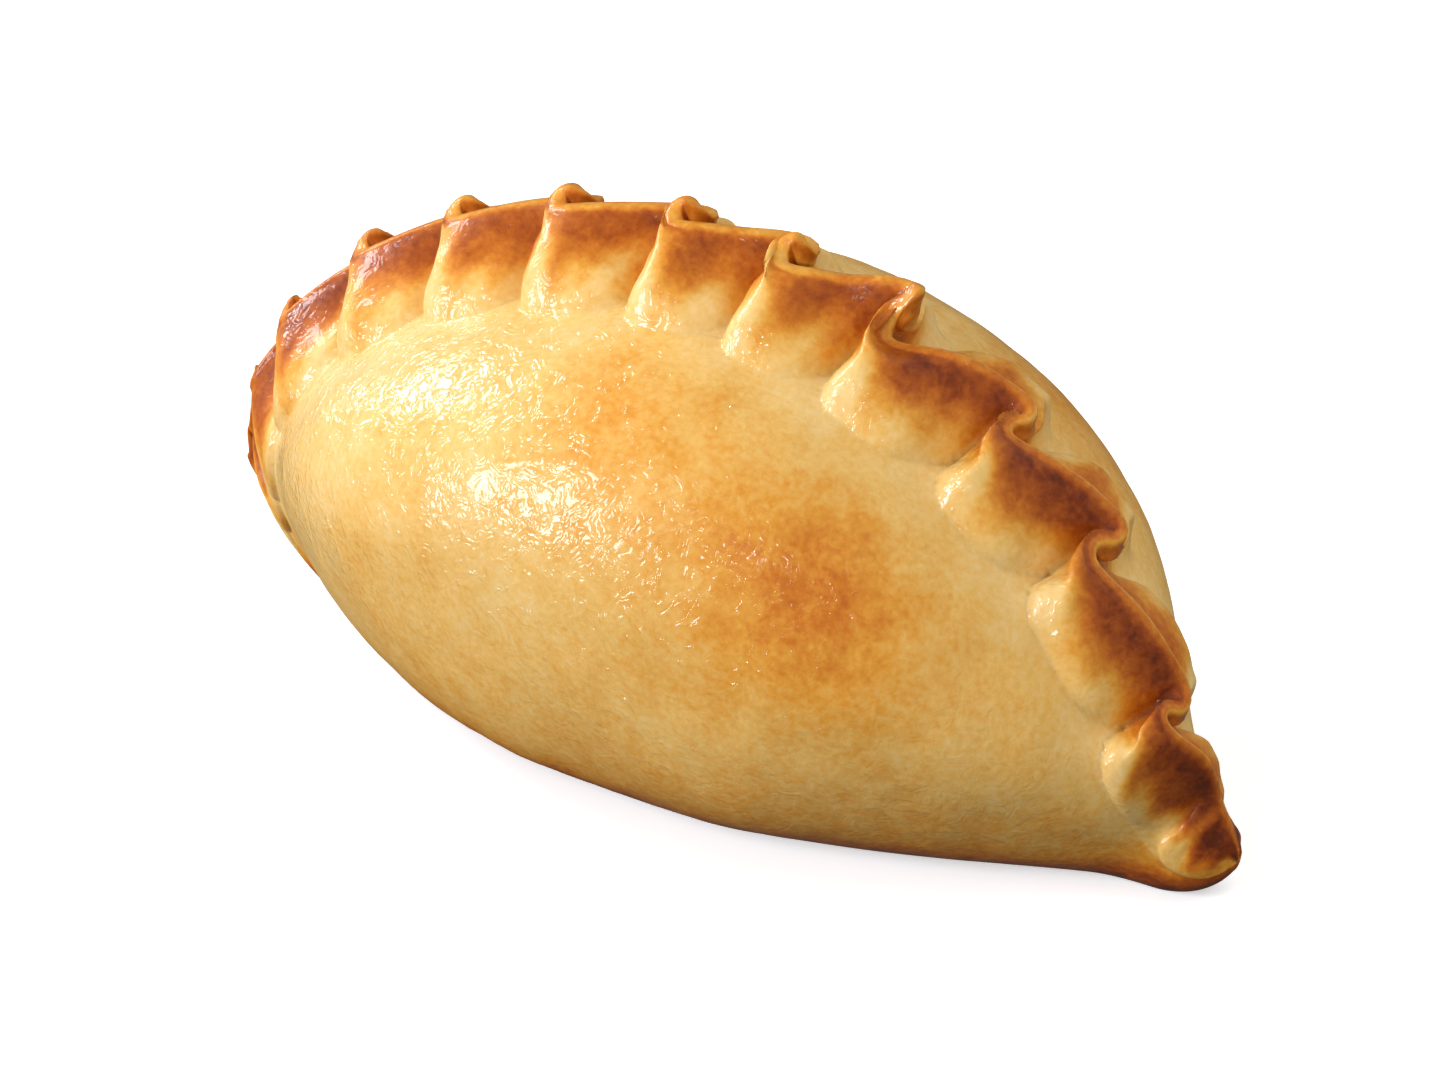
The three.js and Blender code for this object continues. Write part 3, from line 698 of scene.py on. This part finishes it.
def fold_browning(d, past, t, side):
    """Browning of the folds: dark along the rim, less on the ridges, and further down on the flanks."""
    right = right_folds(t)
    flank_end = mix(FLANK_END_LEFT, FLANK_END_RIGHT, right)
    flank_start = mix(FLANK_START_LEFT, FLANK_START_RIGHT, right)
    flank = ease((flank_end - past) / FLANK_FADE) * ease((past - flank_start) / FLANK_RISE)
    more = 1.0 + mix(FLANK_MORE_LEFT, FLANK_MORE_RIGHT, right) * flank
    reach = mix(BROWN_REACH_LEFT, BROWN_REACH_RIGHT, right) * more
    reach = reach * (1.0 + BROWN_STREAKS * streaks(d, t, side))
    band = np.exp(-((np.maximum(d - BROWN_RIM, 0.0) / reach) ** 2))
    far_left = FOLD_DARK_FAR_LEFT * ease((FAR_LEFT_TO - t) / FAR_LEFT_FADE)
    dark = mix(FOLD_DARK_LEFT, FOLD_DARK_RIGHT, right) + far_left
    off_ridge = ease((past - RIDGE_PAST) / RIDGE_FADE) * ease((1.0 - past) / RIDGE_FADE)
    at_rim = ease((RIDGE_BELOW - d) / RIDGE_BELOW_FADE)
    face = mix(mix(RIDGE_SHARE_LEFT, RIDGE_SHARE_RIGHT, right), 1.0, np.maximum(off_ridge, at_rim))
    return dark * band * face * np.where(side > 0, 1.0, mix(1.0, BACK_DARK_RIGHT, right))


def browning_and_shade(points, d, past, t, side):
    """How much each place was browned, from 0 for pale dough to 1 for dark crust, plus painted shade near the
    base.
    """
    folds = fold_browning(d, past, t, side)
    body = mix(BODY_AT_TOES, BODY_BELOW, ease((d - TOE_REACH + BODY_ABOVE_TOES) / BODY_FADE))
    for middle, radius, change in TOASTED:
        far = ((points - np.array(middle)) ** 2).sum(1) / radius**2
        body = body + change * np.exp(-far) * ease((d - TOE_REACH + TOASTED_ABOVE_TOES) / TOASTED_FADE)
    both = np.maximum(folds, body) + BODY_UNDER_FOLDS * np.minimum(folds, body)
    knob = sum(change * ease((t - at) / KNOB_BROWNING_FADE) for at, change in KNOB_BROWNING)
    # Painted shade: the crust is made darker low down, towards the base, on the body below the toes
    low = sum(change * np.exp(-((points[:, 2] / height) ** 2)) for height, change in LOW_PAINTED_SHADE)
    return np.clip(both + knob + low * (d > TOE_REACH), 0.0, 1.0)


def egg_wash(points, d, t, side):
    """How much egg wash lies on each place: less low down, on the left folds and on the back."""
    x, _, z = points.T
    low_left = ease((LOW_LEFT_HEIGHT - z) / LOW_FADE) * ease((LOW_LEFT_END - x) / LOW_LEFT_RUN)
    low = ease((LOW_HEIGHT - z) / LOW_FADE)
    left_folds = ease((TOE_REACH - d) / DRY_FADE) * (1.0 - right_folds(t))
    back = (side < 0) * ease((d - BACK_FROM_RIM) / DRY_FADE)
    dry = DRY_LOW_LEFT * low_left + DRY_LOW * low + DRY_LEFT_FOLDS * left_folds + DRY_BACK * back
    return np.clip(1.0 - dry, LEAST_WASH, 1.0)


def make_pastry():
    rings, facts, left_point, right_point = pastry_grid()
    count, size = rings.shape[:2]
    points = np.concatenate([rings.reshape(-1, 3), [left_point, right_point]])
    fact = np.concatenate([facts.reshape(-1, 4), [facts[0, 0], facts[-1, 0]]])
    low, high = points.min(0), points.max(0)
    points = points - np.array([(low[0] + high[0]) / 2, (low[1] + high[1]) / 2, low[2]])
    mesh = bpy.data.meshes.new("empanada_crust")
    mesh.from_pydata((points * MM).tolist(), [], pastry_faces(count, size))
    mesh.update()
    normals = np.zeros(len(points) * 3)
    mesh.vertices.foreach_get("normal", normals)
    normals = normals.reshape(-1, 3)
    d, past, t, side = fact.T
    swells = swell_height(points) * ease(points[:, 2] / SWELL_FULL_ABOVE_BASE)
    lift = swells * mix(SWELL_AT_RIM, 1.0, ease(d / SWELL_FULL_FROM_RIM)) + STREAK * streaks(d, t, side)
    points = points + normals * lift[:, None]
    mesh.vertices.foreach_set("co", (points * MM).ravel())
    mesh.polygons.foreach_set("use_smooth", [True] * len(mesh.polygons))
    for name, values in {
        # Browning, with painted shade low down by the base, in one attribute
        "bake_and_shade": browning_and_shade(points, d, past, t, side),
        "glaze": egg_wash(points, d, t, side),
        "rim": np.exp(-((d / PALE_RIM_DEPTH) ** 2)),
    }.items():
        layer = mesh.attributes.new(name, "FLOAT", "POINT")
        layer.data.foreach_set("value", values.astype(np.float32))
    mesh.update()
    pastry = bpy.data.objects.new("empanada_crust", mesh)
    bpy.context.scene.collection.objects.link(pastry)
    return pastry


class Graph:
    """Adds and joins the nodes of one material."""

    def __init__(self, name):
        self.material = bpy.data.materials.new(name)
        self.material.use_nodes = True
        self.tree = self.material.node_tree
        self.tree.nodes.clear()

    def node(self, kind, settings=None, **inputs):
        node = self.tree.nodes.new(kind)
        for key, value in (settings or {}).items():
            setattr(node, key, value)
        for key, value in inputs.items():
            self.put(node, key.replace("_", " "), value)
        return node

    def put(self, node, key, value):
        socket = node.inputs[key]
        if isinstance(value, bpy.types.NodeSocket):
            self.tree.links.new(value, socket)
        else:
            socket.default_value = value

    def attribute(self, name):
        return self.node("ShaderNodeAttribute", {"attribute_name": name}).outputs["Fac"]

    def math(self, operation, a, b=0.0, clamp=False):
        node = self.node("ShaderNodeMath", {"operation": operation, "use_clamp": clamp})
        for i, value in enumerate((a, b)):
            if isinstance(value, bpy.types.NodeSocket):
                self.tree.links.new(value, node.inputs[i])
            else:
                node.inputs[i].default_value = value
        return node.outputs[0]

    def noise(self, place, size_mm, detail=2.0, roughness=0.5, distortion=0.0):
        node = self.node("ShaderNodeTexNoise", Vector=place, Detail=detail, Roughness=roughness)
        node.inputs["Scale"].default_value = 1000.0 / size_mm
        node.inputs["Distortion"].default_value = distortion
        return node.outputs["Fac"]

    def spread(self, value, low, high, to_low=0.0, to_high=1.0):
        node = self.node("ShaderNodeMapRange", {"clamp": True}, Value=value)
        node.inputs["From Min"].default_value = low
        node.inputs["From Max"].default_value = high
        node.inputs["To Min"].default_value = to_low
        node.inputs["To Max"].default_value = to_high
        return node.outputs["Result"]

    def spots(self, place, size_mm, change, **shape):
        return self.spread(self.noise(place, size_mm, **shape), NOISE_LOW, NOISE_HIGH, -change, change)

    def bump(self, height):
        node = self.node("ShaderNodeBump", Strength=1.0, Height=height)
        node.inputs["Distance"].default_value = MM
        return node.outputs["Normal"]

    def ramp(self, value, stops):
        node = self.node("ShaderNodeValToRGB", Fac=value)
        elements = node.color_ramp.elements
        while len(elements) < len(stops):
            elements.new(0.5)
        for element, (place, colour) in zip(elements, stops):
            element.position = place
            element.color = (*colour, 1.0)
        return node.outputs["Color"]


def make_crust():
    g = Graph("baked_crust")
    place = g.node("ShaderNodeTexCoord").outputs["Object"]
    # Browning with painted shade near the base, from the mesh
    bake_and_shade = g.attribute("bake_and_shade")
    glaze = g.attribute("glaze")
    rim = g.attribute("rim")

    # Browning: broad clouds, mottles and fine grain over the baked pattern, which also carries painted shade
    # near the base
    clouds = g.spots(place, *CLOUDS, detail=3.0, roughness=0.55)
    mottles = g.spots(place, *MOTTLES, detail=3.0, roughness=0.6, distortion=0.4)
    grain = g.spots(place, *GRAIN, detail=2.0, roughness=0.6)
    total = g.math("ADD", bake_and_shade, clouds)
    total = g.math("ADD", total, g.math("MULTIPLY", mottles, g.math("ADD", bake_and_shade, MOTTLES_ON_PALE)))
    total = g.math("ADD", total, grain)
    total = g.math("SUBTRACT", total, g.math("MULTIPLY", rim, PALE_RIM), True)
    colour = g.ramp(total, CRUST)

    # Relief: wrinkled egg wash, droplets that sparkle, and the dough's own grain
    folded = g.noise(place, WRINKLE_SIZE, distortion=1.2)
    wrinkles = g.math("ABSOLUTE", g.math("SUBTRACT", folded, 0.5))
    drops = g.spread(g.noise(place, DROPLET_SIZE, detail=0.0), DROPLET_LOW, DROPLET_HIGH)
    droplets = g.math("MULTIPLY", drops, DROPLET_IN_WASH)
    crumbs = g.math("MULTIPLY", g.noise(place, CRUMB_SIZE), CRUMB_IN_DOUGH)
    film = g.math("ADD", g.math("MULTIPLY", wrinkles, WRINKLE_IN_WASH), droplets)
    dough = g.math("ADD", g.math("MULTIPLY", wrinkles, WRINKLE_IN_DOUGH), crumbs)

    # Gloss: a coat of egg wash that lies in patches over a dull crust
    patches = g.spread(g.noise(place, PATCH_SIZE), PATCH_LOW, PATCH_HIGH, PATCH_LEAST, 1.0)
    dull = g.spread(g.noise(place, DULLNESS_SIZE), NOISE_LOW, NOISE_HIGH, DULL_LEAST, DULL_MOST)
    shader = g.node("ShaderNodeBsdfPrincipled")
    g.put(shader, "Base Color", colour)
    g.put(shader, "Roughness", dull)
    g.put(shader, "Normal", g.bump(dough))
    g.put(shader, "Specular IOR Level", CRUST_SPECULAR)
    g.put(shader, "Coat Weight", g.math("MULTIPLY", glaze, patches))
    g.put(shader, "Coat Roughness", WASH_ROUGHNESS)
    g.put(shader, "Coat IOR", WASH_IOR)
    g.put(shader, "Coat Normal", g.bump(g.math("MULTIPLY", film, glaze)))
    g.put(shader, "Subsurface Weight", GLOW_THROUGH)
    g.put(shader, "Subsurface Radius", GLOW_SHARES)
    g.put(shader, "Subsurface Scale", GLOW_DEPTH * MM)
    out = g.node("ShaderNodeOutputMaterial")
    g.put(out, "Surface", shader.outputs["BSDF"])
    return g.material


def make_floor():
    g = Graph("pale_floor")
    place = g.node("ShaderNodeTexCoord").outputs["Object"]
    tone = g.spread(g.noise(place, FLOOR_SPOT_SIZE), NOISE_LOW, NOISE_HIGH)
    shader = g.node("ShaderNodeBsdfPrincipled", Roughness=FLOOR_ROUGHNESS)
    g.put(shader, "Base Color", g.ramp(tone, FLOOR_COLOURS))
    g.put(shader, "Specular IOR Level", FLOOR_SPECULAR)
    g.put(shader, "Emission Color", (1.0, 1.0, 1.0, 1.0))
    g.put(shader, "Emission Strength", FLOOR_GLOW)
    out = g.node("ShaderNodeOutputMaterial")
    g.put(out, "Surface", shader.outputs["BSDF"])
    mesh = bpy.data.meshes.new("floor")
    corners = [(FLOOR_HALF * x, FLOOR_HALF * y, 0.0) for x, y in ((-1, -1), (1, -1), (1, 1), (-1, 1))]
    mesh.from_pydata(corners, [], [(0, 1, 2, 3)])
    mesh.materials.append(g.material)
    floor = bpy.data.objects.new("floor", mesh)
    floor.location.z = -FLOOR_DROP * MM
    floor.visible_diffuse = False
    floor.visible_glossy = False
    bpy.context.scene.collection.objects.link(floor)


def direction(azimuth, elevation):
    a, e = math.radians(azimuth), math.radians(elevation)
    return Vector((math.cos(a) * math.cos(e), math.sin(a) * math.cos(e), math.sin(e)))


def make_light(name, azimuth, elevation, distance, size, energy, colour, mirrored):
    lamp = bpy.data.lights.new(name, "AREA")
    lamp.shape = "RECTANGLE"
    lamp.size, lamp.size_y = size
    lamp.energy = energy
    lamp.color = colour
    light = bpy.data.objects.new(name, lamp)
    target = Vector(LIT_POINT) * MM
    light.location = target + direction(azimuth, elevation) * distance
    light.rotation_mode = "QUATERNION"
    light.rotation_quaternion = (target - light.location).to_track_quat("-Z", "Y")
    light.visible_glossy = mirrored
    bpy.context.scene.collection.objects.link(light)


def make_world():
    world = bpy.data.worlds.new("studio")
    world.use_nodes = True
    tree = world.node_tree
    background = tree.nodes["Background"]
    background.inputs["Strength"].default_value = 1.0
    place = tree.nodes.new("ShaderNodeTexCoord")
    split = tree.nodes.new("ShaderNodeSeparateXYZ")
    height = tree.nodes.new("ShaderNodeMapRange")
    height.inputs["From Min"].default_value = -SKY_BLEND
    height.inputs["From Max"].default_value = SKY_BLEND
    height.inputs["To Min"].default_value = SKY_LOW
    height.inputs["To Max"].default_value = SKY_HIGH
    tree.links.new(place.outputs["Generated"], split.inputs["Vector"])
    tree.links.new(split.outputs["Z"], height.inputs["Value"])
    tree.links.new(height.outputs["Result"], background.inputs["Color"])
    bpy.context.scene.world = world


def make_camera():
    camera = bpy.data.cameras.new("camera")
    camera.lens = LENS
    camera.sensor_width = SENSOR
    rig = bpy.data.objects.new("camera", camera)
    back = direction(CAMERA_AZIMUTH - 90.0, CAMERA_ELEVATION)
    rig.location = (Vector(AIM) + back * CAMERA_DISTANCE) * MM
    rig.rotation_mode = "QUATERNION"
    rig.rotation_quaternion = (-back).to_track_quat("-Z", "Y")
    bpy.context.scene.collection.objects.link(rig)
    bpy.context.scene.camera = rig


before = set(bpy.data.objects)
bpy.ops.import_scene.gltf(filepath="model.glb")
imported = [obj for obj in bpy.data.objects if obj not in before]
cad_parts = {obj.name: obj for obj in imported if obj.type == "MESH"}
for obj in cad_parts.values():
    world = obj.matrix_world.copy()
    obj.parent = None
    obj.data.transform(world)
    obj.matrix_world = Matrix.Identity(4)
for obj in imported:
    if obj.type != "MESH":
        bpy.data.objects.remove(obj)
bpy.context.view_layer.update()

pastry = make_pastry()
pastry.data.materials.append(make_crust())
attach(pastry, "root")
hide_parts("empanada")

make_floor()
for settings in LIGHTS:
    make_light(*settings)
make_world()
make_camera()
bpy.context.scene.view_settings.view_transform = "Standard"
